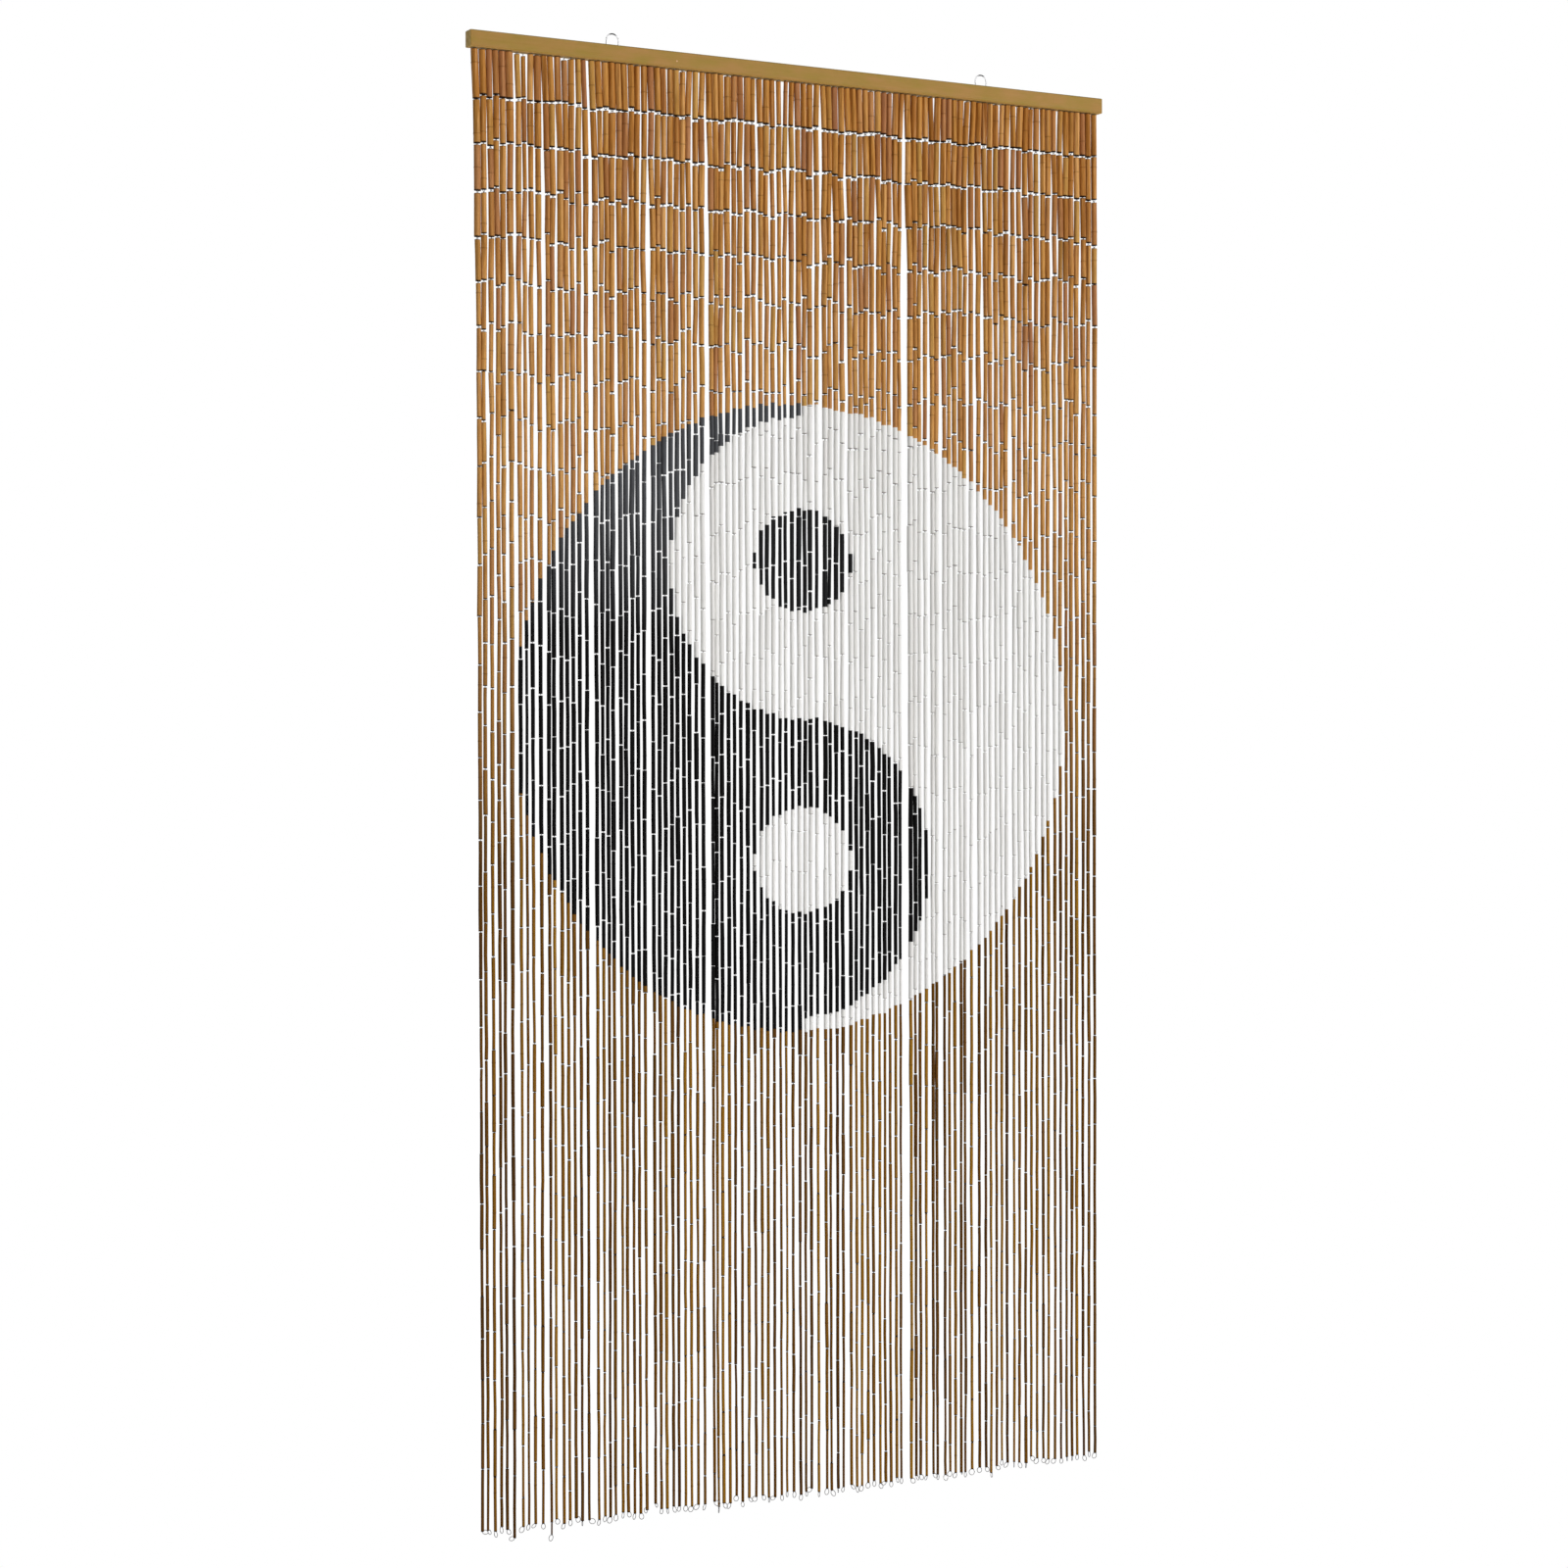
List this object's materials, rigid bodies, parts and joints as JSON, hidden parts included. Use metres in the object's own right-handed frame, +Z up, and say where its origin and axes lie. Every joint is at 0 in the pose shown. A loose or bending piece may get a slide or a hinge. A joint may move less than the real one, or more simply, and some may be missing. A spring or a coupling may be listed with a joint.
{
  "type": "bamboo door curtain with rail",
  "caption": "Bamboo door curtain: strands of wired cane pieces hung under a wooden rail with wire eyes, painted with a yin-yang disc.",
  "frame": {"origin": "middle of the rail's back face, which is turned to the wall or door frame", "axes": "+X along the rail to the viewer's right, -Y out of the curtain's front, +Z up"},
  "size_m": [1, 0.018, 2.0307],
  "materials": {
    "rail_wood": "satin stained wood with a fine lengthwise grain",
    "steel_wire": "bright drawn wire",
    "bamboo": "lacquered bamboo cane, with a painted black and white disc"
  },
  "bodies": {
    "root": {"rail": "rail_wood", "left_eye": "steel_wire", "right_eye": "steel_wire", "strands_1": "bamboo", "strands_2": "bamboo", "strands_3": "bamboo", "strands_4": "bamboo"}
  },
  "joints": []
}
